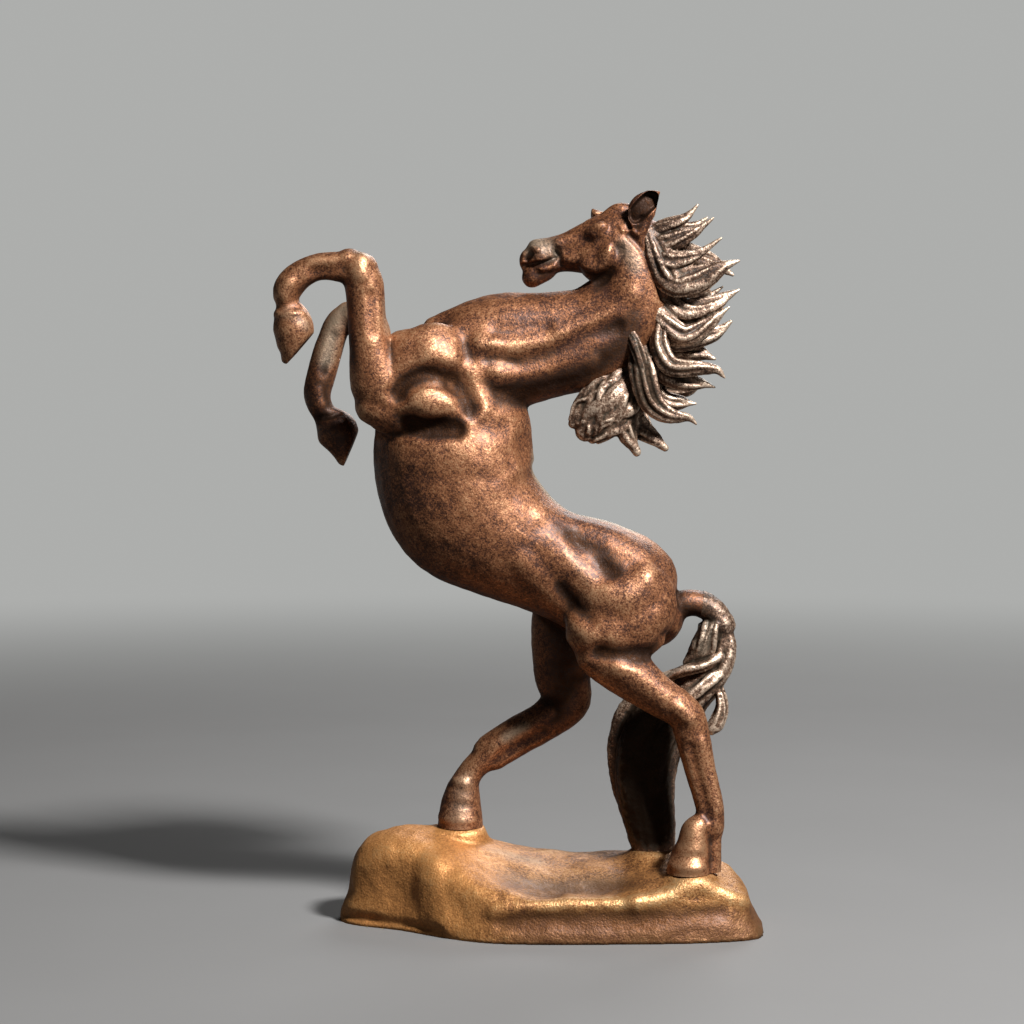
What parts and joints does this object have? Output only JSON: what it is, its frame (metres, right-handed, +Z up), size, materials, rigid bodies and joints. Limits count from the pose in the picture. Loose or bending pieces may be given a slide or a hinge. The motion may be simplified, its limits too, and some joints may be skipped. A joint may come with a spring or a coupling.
{
  "type": "horse figurine",
  "caption": "Bronze figurine of a rearing horse that balances on its hind legs and tail, on a hollow rock base.",
  "frame": {"origin": "bottom centre of the bounding box, on the surface that the base stands on", "axes": "+Z up, +X from the forehooves towards the tail, +Y from the horse's left side to its right"},
  "size_m": [0.1548, 0.0579, 0.2349],
  "materials": {
    "horse_bronze": "brown patina with rubbed highlights",
    "hair_bronze": "darker brown patina with a grey-green tinge in the grooves",
    "rock_bronze": "golden-brown patina, grainy",
    "dowel_brass": "sawn rod",
    "stud_steel": "plain"
  },
  "bodies": {
    "root": {"base_casting": "rock_bronze", "torso_casting": "horse_bronze", "neck_casting": "horse_bronze", "head_casting": "horse_bronze", "near_foreleg": "horse_bronze", "far_foreleg": "horse_bronze", "near_hind_leg": "horse_bronze", "far_hind_leg": "horse_bronze", "tail_arch": "hair_bronze", "tail_fall": "hair_bronze", "mane_upper": "hair_bronze", "mane_middle": "hair_bronze", "mane_lower": "hair_bronze", "mane_tuft": "hair_bronze", "core_plug": "horse_bronze", "neck_dowel_upper": "dowel_brass", "neck_dowel_lower": "dowel_brass", "head_dowel": "dowel_brass", "near_foreleg_dowel": "dowel_brass", "far_foreleg_dowel": "dowel_brass", "near_hind_dowel": "dowel_brass", "far_hind_dowel": "dowel_brass", "tail_dowel": "dowel_brass", "tail_fall_dowel": "dowel_brass", "mane_upper_pin": "dowel_brass", "mane_middle_pin": "dowel_brass", "mane_lower_pin": "dowel_brass", "mane_tuft_pin": "dowel_brass", "near_hoof_stud": "stud_steel", "near_hoof_washer": "stud_steel", "near_hoof_nut": "stud_steel", "far_hoof_stud": "stud_steel", "far_hoof_washer": "stud_steel", "far_hoof_nut": "stud_steel", "tail_stud": "stud_steel", "tail_washer": "stud_steel", "tail_nut": "stud_steel"}
  },
  "joints": []
}
